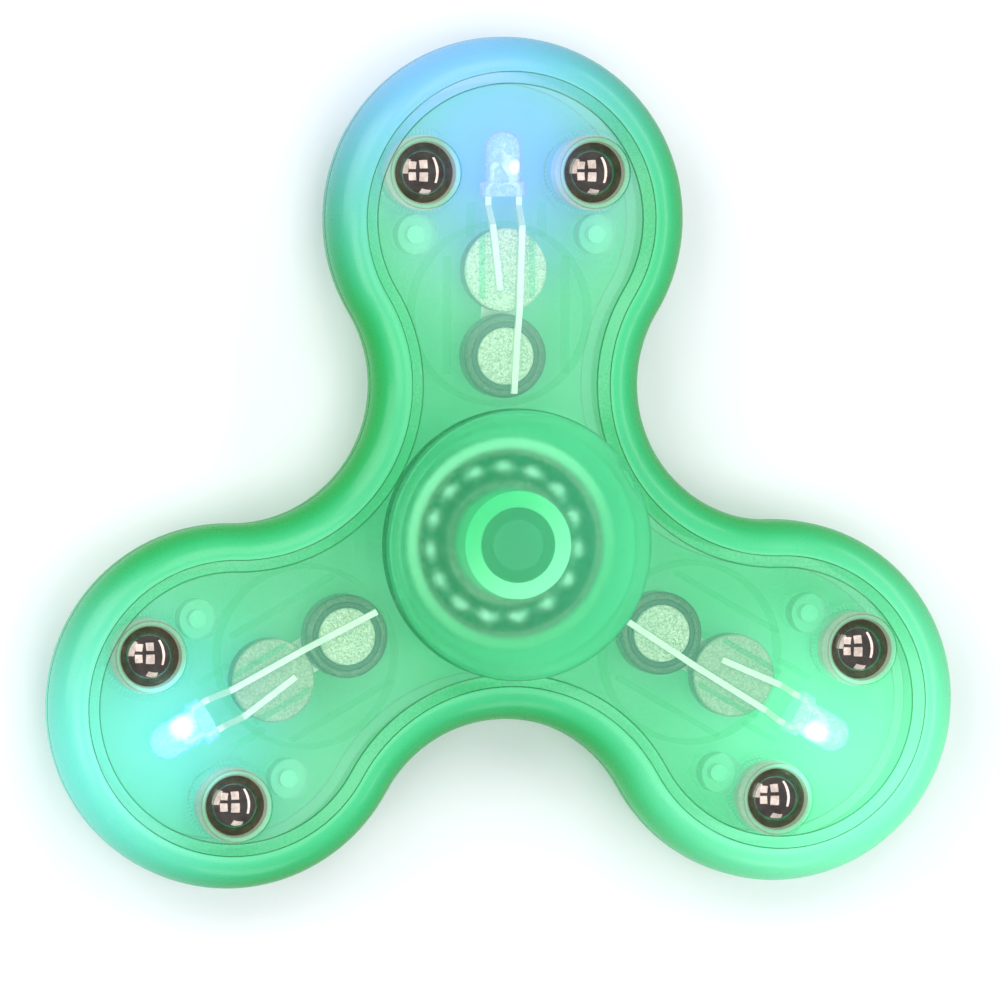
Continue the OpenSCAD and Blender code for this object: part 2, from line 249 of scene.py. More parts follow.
def blank(name):
    material = bpy.data.materials.new(name)
    material.use_nodes = True
    material.node_tree.nodes.clear()
    return material, material.node_tree


def add(tree, kind, inputs=None, **settings):
    """A shader node; inputs are values or other nodes' output sockets, by name or number."""
    node = tree.nodes.new(kind)
    for key, value in settings.items():
        setattr(node, key, value)
    for key, value in (inputs or {}).items():
        if isinstance(value, bpy.types.NodeSocket):
            tree.links.new(value, node.inputs[key])
        else:
            node.inputs[key].default_value = value
    return node


def place_of(tree):
    return add(tree, "ShaderNodeTexCoord").outputs["Object"]


def noise(tree, scale, detail=2.0, roughness=0.5):
    """Noise over the piece; scale is the size of its spots in millimetres."""
    return add(tree, "ShaderNodeTexNoise", {"Vector": place_of(tree), "Scale": 1 / (scale * MM),
               "Detail": detail, "Roughness": roughness}).outputs["Fac"]


def ramp(tree, value, low, high, to_low=0.0, to_high=1.0, smooth=False):
    return add(tree, "ShaderNodeMapRange", {"Value": value, 1: low, 2: high, 3: to_low, 4: to_high},
               interpolation_type="SMOOTHSTEP" if smooth else "LINEAR").outputs[0]


def maths(tree, operation, a, b=0.0):
    return add(tree, "ShaderNodeMath", {0: a, 1: b}, operation=operation).outputs[0]


def summed_halves(tree, a, b):
    return maths(tree, "ADD", maths(tree, "MULTIPLY", a, 0.5), maths(tree, "MULTIPLY", b, 0.5))


def mixed(tree, factor, a, b):
    """A colour between a and b."""
    node = add(tree, "ShaderNodeMix", {"Factor": factor, 6: a, 7: b}, data_type="RGBA")
    return node.outputs[2]


def bumped(tree, height, distance, strength=1.0):
    return add(tree, "ShaderNodeBump", {"Height": height, "Distance": distance * MM,
               "Strength": strength}).outputs["Normal"]


def closed_material(tree, shader):
    add(tree, "ShaderNodeOutputMaterial", {"Surface": shader})


def rgb(r, g, b):
    """A colour in linear light from 0 to 255 display values."""
    def linear(c):
        c /= 255
        return c / 12.92 if c <= 0.04045 else ((c + 0.055) / 1.055) ** 2.4
    return (linear(r), linear(g), linear(b), 1)


GLOW_COLOURS = (rgb(142, 190, 255), rgb(140, 236, 238), rgb(150, 255, 214))
LAMP_COLOURS = (rgb(196, 206, 255), rgb(205, 236, 255), rgb(222, 255, 240))
LAMP_EDGES = (rgb(160, 140, 255), rgb(130, 205, 255), rgb(150, 250, 225))


def scaled(tree, colour, by):
    return add(tree, "ShaderNodeVectorMath", {0: colour, "Scale": by}, operation="SCALE").outputs[0]


def summed(tree, a, b):
    return add(tree, "ShaderNodeVectorMath", {0: a, 1: b}, operation="ADD").outputs[0]


def lamp_glow(tree, near, far, share, spots):
    """Painted light in the lamps' colours round each spot, standing in for the light the lamps spread through the
    plastic, and its share of the colour.
    """
    light, amount = None, None
    for spot, colour in zip(spots, GLOW_COLOURS):
        away = add(tree, "ShaderNodeVectorMath", {0: place_of(tree), 1: spot}, operation="DISTANCE")
        part = ramp(tree, away.outputs["Value"], near * MM, far * MM, share, 0.0, smooth=True)
        tinted = scaled(tree, colour[:3], part)
        light = tinted if light is None else summed(tree, light, tinted)
        amount = part if amount is None else maths(tree, "ADD", amount, part)
    return light, maths(tree, "SUBTRACT", 1.0, amount)


def frosted_plastic(name, deep, pale, veil, glow=None, spots=LAMP_SPOTS, rough=0.34,
                    through=(0.95, 1.0, 0.97, 1), across=None, haze=0.0, own=0.05, bloom=None):
    """Moulded translucent plastic: a satin skin that hides veil of what is behind it.

    The skin is deep to pale by chance, or along a direction from one distance to another as painted light and
    shade. glow is the near and far reach of painted light in the lamps' colours, its share of the colour and its
    strength; haze blurs what shows through, own is a painted glow in the plastic's colour, and bloom is a painted
    milky light round a spot.
    """
    material, tree = blank(name)
    cloud = noise(tree, 12.0, 1.0)
    # across paints light and shade: the colour runs from deep to pale along a direction.
    if across:
        direction, low, high = across
        reach = add(tree, "ShaderNodeVectorMath", {0: place_of(tree), 1: direction}, operation="DOT_PRODUCT")
        start = MIDDLE * direction[2]
        tone = ramp(tree, reach.outputs["Value"], (start + low) * MM, (start + high) * MM, smooth=True)
    else:
        speck = noise(tree, 0.2, 2.0, 0.7)
        tone = ramp(tree, summed_halves(tree, cloud, speck), 0.4, 0.6)
    colour = mixed(tree, tone, deep, pale)
    # own: a painted glow in the plastic's own colour.
    light = scaled(tree, colour, own)
    if glow:
        near, far, most, strength = glow
        lamps, rest = lamp_glow(tree, near, far, most, spots)
        colour = summed(tree, scaled(tree, colour, rest), lamps)
        light = summed(tree, light, scaled(tree, lamps, strength))
    # bloom: a painted milky light round a spot.
    if bloom:
        spot, near, far, milk = bloom
        away = add(tree, "ShaderNodeVectorMath", {0: place_of(tree), 1: spot}, operation="DISTANCE")
        part = ramp(tree, away.outputs["Value"], near * MM, far * MM, 1.0, 0.0, smooth=True)
        light = summed(tree, light, scaled(tree, milk, part))
    grain = noise(tree, 0.12, 2.0, 0.6)
    relief = maths(tree, "ADD", maths(tree, "MULTIPLY", grain, 0.12), noise(tree, 6.0, 1.0))
    normal = bumped(tree, relief, 0.05, 0.5)
    shine = ramp(tree, grain, 0.3, 0.7, rough - 0.05, rough + 0.05)
    skin = add(tree, "ShaderNodeBsdfPrincipled", {
        "Base Color": colour, "Roughness": shine, "Normal": normal, "Specular IOR Level": 0.5,
        "Coat Weight": 0.25, "Coat Roughness": 0.12, "Emission Color": light,
        "Emission Strength": 1.0})
    inner = add(tree, "ShaderNodeBsdfTranslucent", {"Color": colour, "Normal": normal})
    body = add(tree, "ShaderNodeMixShader", {0: 0.35, 1: skin.outputs[0], 2: inner.outputs[0]})
    clear = add(tree, "ShaderNodeBsdfTransparent", {"Color": through}).outputs[0]
    if haze:
        blur = add(tree, "ShaderNodeBsdfRefraction", {
            "Color": through, "Roughness": haze, "IOR": 1.45, "Normal": bumped(tree, grain, 0.03, 0.6)})
        shadow = add(tree, "ShaderNodeLightPath").outputs["Is Shadow Ray"]
        clear = add(tree, "ShaderNodeMixShader", {0: shadow, 1: blur.outputs[0], 2: clear}).outputs[0]
    share = ramp(tree, cloud, 0.3, 0.7, veil - 0.02, veil + 0.02)
    closed_material(tree, add(tree, "ShaderNodeMixShader", {0: share, 1: clear, 2: body.outputs[0]}).outputs[0])
    return material


def metal(name, colour, dark, rough, spot, relief=0.004, speckle=0.0):
    """Bare metal with fine mottling; spot is the size of its grain in millimetres."""
    material, tree = blank(name)
    grain = noise(tree, spot, 4.0, 0.7)
    tone = mixed(tree, ramp(tree, grain, 0.35, 0.65), dark, colour)
    shine = ramp(tree, noise(tree, spot * 4, 2.0), 0.3, 0.7, rough * 0.8, rough * 1.25)
    shader = add(tree, "ShaderNodeBsdfPrincipled", {
        "Base Color": tone, "Metallic": 1.0 - speckle, "Roughness": shine,
        "Normal": bumped(tree, grain, relief, 0.6)})
    closed_material(tree, shader.outputs[0])
    return material


def clear_lens(name, colour, edge_colour, spot, spread):
    """Clear epoxy round a lit chip: a white hot spot on its skin, sparks of light, and tinted edges."""
    material, tree = blank(name)
    away = add(tree, "ShaderNodeVectorMath", {0: place_of(tree), 1: spot}, operation="DISTANCE")
    hot = ramp(tree, away.outputs["Value"], 0.3 * spread * MM, spread * MM, 1.0, 0.0, smooth=True)
    sparks = ramp(tree, noise(tree, 0.45, 3.0, 0.8), 0.5, 0.66)
    lit = maths(tree, "ADD", hot, maths(tree, "MULTIPLY", sparks, 0.4))
    turned = add(tree, "ShaderNodeLayerWeight", {"Blend": 0.5}).outputs["Facing"]
    edge = ramp(tree, turned, 0.25, 0.8, smooth=True)
    tint = mixed(tree, edge, colour, edge_colour)
    glow = mixed(tree, hot, tint, (1, 1, 1, 1))
    shell = add(tree, "ShaderNodeBsdfPrincipled", {
        "Base Color": tint, "Roughness": 0.08, "IOR": 1.5, "Coat Weight": 0.5,
        "Emission Color": glow, "Emission Strength": maths(tree, "ADD", lit, 0.3),
        "Normal": bumped(tree, noise(tree, 0.8, 2.0), 0.02, 0.4)})
    clear = add(tree, "ShaderNodeBsdfTransparent", {"Color": (0.92, 0.95, 1, 1)})
    veil = maths(tree, "ADD", maths(tree, "MULTIPLY", edge, 0.4), maths(tree, "MULTIPLY", lit, 0.5))
    share = maths(tree, "MINIMUM", maths(tree, "ADD", veil, 0.3), 0.95)
    closed_material(tree, add(tree, "ShaderNodeMixShader", {
        0: share, 1: clear.outputs[0], 2: shell.outputs[0]}).outputs[0])
    return material


DEEP_GREEN = rgb(108, 238, 178)
PALE_GREEN = rgb(162, 254, 218)
FACE_GLOW = (2.0, 14.0, 0.9, 0.35)
RIM_GLOW = (2.0, 25.0, 0.8, 0.18)
UP = (0, 0, 1)

# Painted light: the bloom is a milky pale light painted round arm 1's lamp, over the painted lamp light.
floor_skin = frosted_plastic("shell_face_plastic", DEEP_GREEN, PALE_GREEN, 0.27, FACE_GLOW,
                             bloom=(LAMP_SPOTS[0], 9.0, 17.0, (0.36, 0.5, 0.5)))
# Painted highlight: the bloom puts a lilac-white highlight on the slope at the upper left of arm 1's lobe; the rest
# of its glow is painted light round RIM_SPOTS, with a painted glow.
slope_skin = frosted_plastic("shell_slope_plastic", rgb(96, 228, 160), rgb(132, 244, 190), 0.5,
                             (2.0, 22.0, 0.9, 0.5), RIM_SPOTS, own=0.1,
                             bloom=(RIM_SPOTS[0], 3.0, 11.0, (0.45, 0.3, 0.5)))
# Painted shade: thin dark lines at the foot and crest of the slope and on the walls of the front pegs; the band at
# the seam between the shells is the dark joint.
line_skin = frosted_plastic("shell_crease_plastic", rgb(20, 120, 70), rgb(30, 136, 84), 0.5)
# Painted shade and light: the rim is deep green low on its wall and paler towards the top of the front rim, with
# painted light in the lamps' colours round RIM_SPOTS and a painted glow.
rim_skin = frosted_plastic("shell_rim_plastic", rgb(0, 172, 76), rgb(90, 222, 160), 0.9, RIM_GLOW, RIM_SPOTS,
                           rough=0.3, across=(UP, 2.0, 4.0), own=0.12)
inner_skin = frosted_plastic("shell_inner_plastic", rgb(130, 230, 178), rgb(150, 238, 194), 0.05,
                             through=(0.99, 1.0, 0.99, 1))
# Painted shade: the ribs, the compartment rings and the edges of the weight flares are painted a darker green than
# the shell, with painted lamp light near the lamps.
rib_skin = frosted_plastic("shell_rib_plastic", rgb(70, 160, 112), rgb(90, 180, 130), 0.08,
                           (1.0, 8.0, 0.9, 0.8), rough=0.2, through=(0.85, 1.0, 0.92, 1))
# Painted light: the peg bosses are painted paler than the shell, with a painted glow and painted lamp light.
peg_skin = frosted_plastic("shell_peg_plastic", rgb(150, 246, 200), rgb(180, 252, 220), 0.22,
                           (1.0, 10.0, 0.8, 0.3), rough=0.2, own=0.12)
# Painted light: the flare rings round the weights are painted pale with a painted glow, and carry painted highlights
# in the lamps' colours on their sides towards the lamp.
flare_skin = frosted_plastic("weight_flare_plastic", rgb(130, 240, 190), rgb(160, 250, 212), 0.5,
                             (3.6, 7.6, 0.9, 1.6), rough=0.2, own=0.22)
# Painted highlight: the pale ring round the bearing hole is painted brightest towards the upper left and glows,
# standing in for the bearing's bright outer race.
lip_skin = frosted_plastic("bearing_lip_plastic", rgb(206, 254, 222), rgb(120, 196, 144), 0.75,
                           across=((0.5, -0.85, 0), -8, 8), own=0.32)
# Painted shade: the back shell takes darker copies of the front shell's greens, with painted lamp light; its inner
# skin also has a painted glow.
back_skin = frosted_plastic("shell_back_plastic", rgb(78, 218, 146), rgb(112, 238, 176), 0.72, FACE_GLOW)
back_inner = frosted_plastic("shell_back_inner_plastic", rgb(90, 214, 150), rgb(112, 230, 170), 0.3, FACE_GLOW,
                             own=0.12)
# Painted light: the weight sockets are painted grey-brown with a strong painted glow and painted lamp light, which
# the balls' edges reflect.
socket_skin = frosted_plastic("weight_socket_plastic", rgb(140, 138, 122), rgb(160, 158, 144), 0.8,
                              (2.0, 6.5, 0.8, 1.0), rough=0.15, own=0.9)
# Painted reflection: the weight balls' steel is painted dark and warm, standing in for the dark brown surroundings it
# reflects.
chrome = metal("polished_ball_steel", rgb(142, 132, 124), rgb(114, 104, 98), 0.05, 1.2, 0.0006)
small_ball_steel = metal("bearing_ball_steel", rgb(244, 244, 242), rgb(214, 218, 214), 0.12, 0.6, 0.0006)
# Painted shade: the races' steel is painted dark and warm, standing in for the bearing's shaded annulus.
race_steel = metal("ground_race_steel", rgb(140, 120, 116), rgb(98, 86, 84), 0.3, 0.25, 0.002)
tin = metal("tinned_lead", rgb(240, 240, 224), rgb(216, 218, 204), 0.4, 0.12, 0.004, 0.5)
nickel = metal("nickel_cell_face", rgb(244, 236, 216), rgb(140, 146, 120), 0.5, 0.16, 0.008, 1.0)
# Painted shade: a darker copy of the cell face, for the outer cells of arms 2 and 3.
shaded_nickel = metal("shaded_cell_face", rgb(190, 192, 170), rgb(132, 140, 118), 0.5, 0.16, 0.006, 0.6)
# Painted shade: the cans' sides and crimped rims are painted dark olive, standing in for the dark ring of shade round
# the lids.
can_side = metal("nickel_cell_side", rgb(84, 92, 72), rgb(50, 58, 44), 0.3, 0.3, 0.004, 0.2)
chip_metal = metal("lamp_chip_metal", rgb(240, 225, 150), rgb(200, 180, 110), 0.3, 0.05, 0.002)
# The gaskets are dark nylon, painted near black as painted shade round the lids.
gasket_nylon = metal("cell_gasket_nylon", rgb(34, 42, 34), rgb(14, 18, 14), 0.5, 0.3, 0.004, 1.0)


# ---------------------------------------------------------------- shells

LOBE_STEPS = 84
ARC_STEPS = 36
HOLE_STEPS = 64
(FACE, SLOPE_SLOT, RIM_SLOT, INNER_SLOT, SOCKET_SLOT, LINE_SLOT, RIB_SLOT, PEG_SLOT, FLARE_SLOT,
 LIP_SLOT) = range(10)


def arc_points(reach, centre_turn, r, start, end, steps):
    return [(reach * math.cos(centre_turn) + r * math.cos(start + (end - start) * i / steps),
             reach * math.sin(centre_turn) + r * math.sin(start + (end - start) * i / steps))
            for i in range(steps)]


def outline(inset):
    """The spinner's whole outline moved inwards by inset, counter-clockwise."""
    points = []
    for arm in ARMS:
        lobe = math.radians(120 * (arm - 1) + 90)
        arc = lobe + math.radians(60)
        points += arc_points(ARM_R, lobe, LOBE_R - inset, lobe - LOBE_HALF_TURN,
                             lobe + LOBE_HALF_TURN, LOBE_STEPS)
        points += arc_points(ARC_REACH, arc, ARC_R + inset, arc + math.pi + ARC_HALF_TURN,
                             arc + math.pi - ARC_HALF_TURN, ARC_STEPS)
    return points


def rim_rows():
    """Rows of (inset, height, material of the band that follows) over the slope, rim and inside wall."""
    crest = RIM_R + SLOPE
    # The LINE_SLOT bands at the slope's foot and crest are painted shade lines.
    rows = [(crest + 0.08, FLOOR_Z, LINE_SLOT), (crest - 0.05, FLOOR_Z + 0.03, SLOPE_SLOT),
            (crest - 0.2, FLOOR_Z + 0.1, SLOPE_SLOT), (RIM_R + 0.2, SHELL_HALF - 0.09, SLOPE_SLOT),
            (RIM_R + 0.1, SHELL_HALF - 0.03, LINE_SLOT)]
    steps = 14
    for i in range(steps + 1):
        turn = math.radians(90 * i / steps)
        rows.append((RIM_R * (1 - math.sin(turn)), EDGE_BAND + RIM_R * math.cos(turn), RIM_SLOT))
    rows += [(0, SEAM, LINE_SLOT), (SEAM * 0.7, 0, INNER_SLOT), (WALL, 0, INNER_SLOT),
             (WALL, EDGE_BAND, INNER_SLOT)]
    for inset, z in bow((WALL, EDGE_BAND), (WALL, CEILING_Z), (WALL + CAVITY_CORNER, CEILING_Z), 5)[1:]:
        rows.append((inset, z, INNER_SLOT))
    return rows


def shell(name, is_front):
    side = 1 if is_front else -1
    place = HUB @ Matrix.Diagonal((1, 1, side, 1))
    bm = bmesh.new()
    rows = rim_rows()
    rings = [ring(bm, place, outline(inset), z) for inset, z, slot in rows]
    for i in range(len(rows) - 1):
        band(bm, rings[i], rings[i + 1], rows[i][2])
    face_holes, roof_holes = [], []

    def pierced(x, y, steps, profile):
        made = [ring(bm, place, circle(x, y, r, steps), z) for r, z, slot in profile]
        for i in range(len(made) - 1):
            band(bm, made[i], made[i + 1], profile[i][2])
        face_holes.append(made[0])
        roof_holes.append(made[-1])

    # The LIP_SLOT ring round the bearing hole carries a painted highlight.
    pierced(0, 0, 128, [
        (SHIELD_R + 0.85, FLOOR_Z, LIP_SLOT), (SHIELD_R + 0.1, FLOOR_Z, LIP_SLOT), (SHIELD_R, FLOOR_Z - 0.1, INNER_SLOT),
        (SHIELD_R, RACE_HALF, INNER_SLOT), (RACE_R + 0.03, RACE_HALF, INNER_SLOT),
        (RACE_R + 0.03, 0, INNER_SLOT), (HUB_WALL_R, 0, INNER_SLOT), (HUB_WALL_R, CEILING_Z, INNER_SLOT)])
    for arm in ARMS:
        turn = Matrix.Rotation(math.radians(120 * (arm - 1)), 3, "Z")
        for which in SIDES:
            centre = turn @ Vector((which * WEIGHT_X, WEIGHT_Y, 0))
            pierced(centre.x, centre.y, HOLE_STEPS, [
                (LIP_R + FLARE + 0.1, FLOOR_Z, RIB_SLOT), (LIP_R + FLARE, FLOOR_Z - 0.05, FLARE_SLOT),
                (LIP_R + 0.12, FLOOR_Z - FLARE_H + 0.1, RIB_SLOT), (LIP_R, FLOOR_Z - FLARE_H - 0.05, SOCKET_SLOT),
                (LIP_R, LIP_Z, SOCKET_SLOT), (POCKET_R, LIP_Z - 0.1, SOCKET_SLOT),
                (POCKET_R, 0, INNER_SLOT), (SLEEVE_R, 0, INNER_SLOT), (SLEEVE_R, CEILING_Z, INNER_SLOT)])
    filled(bm, [rings[0]] + face_holes, FACE)
    filled(bm, [rings[-1]] + roof_holes, INNER_SLOT)
    for arm in ARMS:
        turned = arm_matrix(arm) @ Matrix.Diagonal((1, 1, side, 1))
        for which in SIDES:
            at_peg = turned @ Matrix.Translation((which * PEG_X, PEG_Y, 0))
            if is_front:
                # The disc at the end of each front peg hole takes the glowing flare plastic, a painted highlight at
                # the peg's centre.
                profile = [(PEG_HOLE_R, 0), (PEG_BOSS_R, 0), (PEG_BOSS_R, CEILING_Z + 0.1),
                           (0, CEILING_Z + 0.1), (0, 1.45), (PEG_HOLE_R, 1.45)]
                lathe(bm, at_peg, profile, 40, [PEG_SLOT, LINE_SLOT, PEG_SLOT, PEG_SLOT, FLARE_SLOT, LINE_SLOT])
            else:
                profile = [(0, -1.4), (PEG_R - 0.15, -1.4), (PEG_R, -1.25), (PEG_R, 0), (PEG_BOSS_R, 0),
                           (PEG_BOSS_R, CEILING_Z + 0.1), (0, CEILING_Z + 0.1)]
                lathe(bm, at_peg, profile, 40, [PEG_SLOT] * 7, closed=False)
            if is_front:
                ribs = ((4.9, COMPARTMENT_Y - 4.8, 9.6, 0.5), (2.95, 24.8, 2.8, 0.4), (2.07, 19.8, 5.4, 1.36))
                for x, start, length, low in ribs:
                    bar(bm, turned, (which * x - 0.2, start, low), (which * x + 0.2, start + length, CEILING_Z + 0.1),
                        0.08, RIB_SLOT)
        if not is_front:
            lathe(bm, turned @ Matrix.Translation((0, COMPARTMENT_Y, 0)), [
                (COMPARTMENT_R - 0.2, 0.6), (COMPARTMENT_R - 0.1, 0.5), (COMPARTMENT_R + 0.1, 0.5),
                (COMPARTMENT_R + 0.2, 0.6), (COMPARTMENT_R + 0.2, CEILING_Z + 0.1),
                (COMPARTMENT_R - 0.2, CEILING_Z + 0.1)], 96, [RIB_SLOT] * 6)
    skins = [floor_skin if is_front else back_skin, slope_skin, rim_skin,
             inner_skin if is_front else back_inner, socket_skin if is_front else back_skin, line_skin,
             rib_skin, peg_skin, flare_skin if is_front else back_skin, lip_skin]
    return finish_piece(bm, name, "rotor", ["front_shell" if is_front else "back_shell"], skins)


shell("front_shell_moulding", True)
shell("back_shell_moulding", False)


# ---------------------------------------------------------------- bearing

def groove(land, is_outer):
    reach = GROOVE_R if is_outer else -GROOVE_R
    rise = math.sqrt(GROOVE_R ** 2 - (land - TRACK_R) ** 2)
    half = math.asin(rise / GROOVE_R)
    steps = 10
    return [(TRACK_R + reach * math.cos(half * (1 - 2 * i / steps)),
             GROOVE_R * math.sin(half * (1 - 2 * i / steps))) for i in range(steps + 1)]


def race(name, node, body, edge, land, is_outer):
    bm = bmesh.new()
    profile = eased([(edge, -RACE_HALF, 0.25), (edge, RACE_HALF, 0.25), (land, RACE_HALF, 0.12),
                     (land, RACE_HALF - 1.0)], 3)
    profile += groove(land, is_outer) + [(land, 1.0 - RACE_HALF), (land, -RACE_HALF)]
    lathe(bm, HUB, profile, 128)
    return finish_piece(bm, name, body, [node], [race_steel])


race("bearing_outer_race_ground", "bearing_outer_race", "rotor", RACE_R, OUTER_LAND_R, True)
race("bearing_inner_race_ground", "bearing_inner_race", "finger_caps", BORE_R, INNER_LAND_R, False)


def sphere(bm, place, r, rows=28):
    lathe(bm, place, [(r * math.sin(math.pi * i / rows), -r * math.cos(math.pi * i / rows))
                      for i in range(rows + 1)], 2 * rows, closed=False)


bm = bmesh.new()
for i in range(BALL_COUNT):
    spin = Matrix.Rotation(2 * math.pi * i / BALL_COUNT, 4, "Z")
    sphere(bm, HUB @ spin @ Matrix.Translation((0, TRACK_R, 0)), BALL_R, 16)
finish_piece(bm, "bearing_balls_polished", "ball_set", ["bearing_balls"],
             [small_ball_steel])


# ---------------------------------------------------------------- finger caps

# Painted shade: the cap's face is deeper green towards its left and paler towards its right.
cap_skin = frosted_plastic("cap_face_plastic", rgb(20, 200, 124), rgb(84, 228, 168), 0.24, rough=0.3,
                           through=(0.88, 1.0, 0.95, 1),
                           across=((1, 0, 0), -13, 15), haze=0.18)
# Painted shade: the cap's rounded edge and outer side wall are painted dark green.
cap_side_skin = frosted_plastic("cap_side_plastic", rgb(16, 112, 62), rgb(30, 136, 80), 0.8, rough=0.26)
# Painted light: the column under the plate is painted pale, brightest towards the lower right, and glows.
column_skin = frosted_plastic("cap_column_plastic", rgb(90, 216, 146), rgb(196, 252, 216), 0.85,
                              across=((0.6, -0.8, 0), -4.5, 4.0), own=0.3)
# Painted shade: the bore is painted dark green, and the disc over the pilot bore a less deep green.
bore_skin = frosted_plastic("cap_bore_plastic", rgb(4, 112, 58), rgb(14, 128, 72), 0.85, own=0.0)
disc_skin = frosted_plastic("cap_pilot_plastic", rgb(60, 130, 94), rgb(78, 152, 112), 0.85)
skirt_skin = frosted_plastic("cap_skirt_plastic", rgb(70, 205, 135), rgb(100, 222, 160), 0.12)

CAP_SLOTS = [cap_skin, cap_side_skin, column_skin, bore_skin, disc_skin, skirt_skin]
COLUMN_R = 4.35
PLATE_UNDER = CAP_TOP - 1.0
SKIRT_UNDER = CAP_TOP - 1.9
SKIRT_INNER_R = CAP_R - 1.15
STEM_R = BORE_R - 0.03
PLUG_R = 3.05
PLUG_BORE_R = 2.05


def cap(name, node, is_front):
    side = 1 if is_front else -1
    place = HUB @ Matrix.Diagonal((1, 1, side, 1))
    bm = bmesh.new()
    lathe(bm, place, [
        (0, CAP_TOP), (CAP_R - 0.5, CAP_TOP), (CAP_R - 0.31, CAP_TOP - 0.04), (CAP_R - 0.15, CAP_TOP - 0.15),
        (CAP_R - 0.04, CAP_TOP - 0.31), (CAP_R, CAP_TOP - 0.5), (CAP_R, SKIRT_UNDER + 0.1),
        (CAP_R - 0.1, SKIRT_UNDER), (SKIRT_INNER_R + 0.1, SKIRT_UNDER), (SKIRT_INNER_R, SKIRT_UNDER + 0.1),
        (SKIRT_INNER_R, PLATE_UNDER - 0.2), (SKIRT_INNER_R - 0.2, PLATE_UNDER), (COLUMN_R + 0.15, PLATE_UNDER),
        (0, PLATE_UNDER)], 160, [0, 0, 0, 0, 1, 1, 5, 5, 5, 5, 5, 0, 0], closed=False)
    if is_front:
        # The column's top face, just under the plate, is painted in rings: painted light over the column, painted
        # shade over the bore, and a lighter painted shade over the pilot disc.
        column = [(0, PLATE_UNDER - 0.5), (PLUG_BORE_R, PLATE_UNDER - 0.5), (PLUG_BORE_R, 3.1),
                  (PLUG_R + 0.03, 3.1), (PLUG_R + 0.03, -2.4), (STEM_R, -2.4), (STEM_R, 2.5), (COLUMN_R, 2.5),
                  (COLUMN_R, PLATE_UNDER - 0.02), (PLUG_R, PLATE_UNDER - 0.02), (PLUG_BORE_R, PLATE_UNDER - 0.02),
                  (0, PLATE_UNDER - 0.02)]
        slots = [3, 3, 3, 3, 3, 3, 2, 2, 2, 3, 4, 4]
    else:
        column = [(0, 5.3), (PLUG_BORE_R, 5.3), (PLUG_BORE_R, -3.1), (PLUG_R, -3.1), (PLUG_R, 2.5), (COLUMN_R, 2.5),
                  (COLUMN_R, PLATE_UNDER - 0.02), (0, PLATE_UNDER - 0.02)]
        slots = [3, 3, 3, 3, 2, 2, 2, 2]
    lathe(bm, place, column, 96, slots, closed=False)
    return finish_piece(bm, name, "finger_caps", [node], CAP_SLOTS)


cap("front_cap_moulding", "front_cap", True)
cap("back_cap_moulding", "back_cap", False)


# ---------------------------------------------------------------- weights, lamps and cells

for arm in ARMS:
    for label, which in (("left", -1), ("right", 1)):
        bm = bmesh.new()
        sphere(bm, arm_matrix(arm) @ Matrix.Translation((which * WEIGHT_X, WEIGHT_Y, 0)), WEIGHT_R, 40)
        finish_piece(bm, f"weight_ball_{label}_{arm}_polished", "rotor",
                     [f"weight_ball_{label}_{arm}"], [chrome])


def lens(arm):
    bm = bmesh.new()
    place = arm_matrix(arm) @ Matrix.Translation((0, LENS_Y, 0)) @ Matrix.Rotation(math.radians(-90), 4, "X")
    dome = [(LENS_R * math.cos(math.radians(90 * i / 12)),
             LENS_LENGTH - LENS_R + LENS_R * math.sin(math.radians(90 * i / 12))) for i in range(13)]
    profile = [(0, 0), (LENS_FLANGE_R - 0.08, 0), (LENS_FLANGE_R, 0.08), (LENS_FLANGE_R, 1.12),
               (LENS_FLANGE_R - 0.08, 1.2), (LENS_R + 0.1, 1.2), (LENS_R, 1.3)] + dome[:-1] + [(0, LENS_LENGTH)]
    lathe(bm, place, profile, 48, closed=False)
    back = place.inverted()
    for v in bm.verts:
        local = back @ v.co
        if local.x > 1.75:
            local.x = 1.75
            v.co = place @ local
    hot_spot = arm_matrix(arm) @ Vector((0.7, LENS_Y + 2.4, math.sqrt(LENS_R ** 2 - 0.7 ** 2)))
    epoxy = clear_lens(f"lamp_epoxy_{arm}", LAMP_COLOURS[arm - 1], LAMP_EDGES[arm - 1], hot_spot,
                       0.85 if arm == 1 else 1.5)
    return finish_piece(bm, f"lamp_lens_{arm}_epoxy", "rotor", [f"lamp_lens_{arm}"], [epoxy])


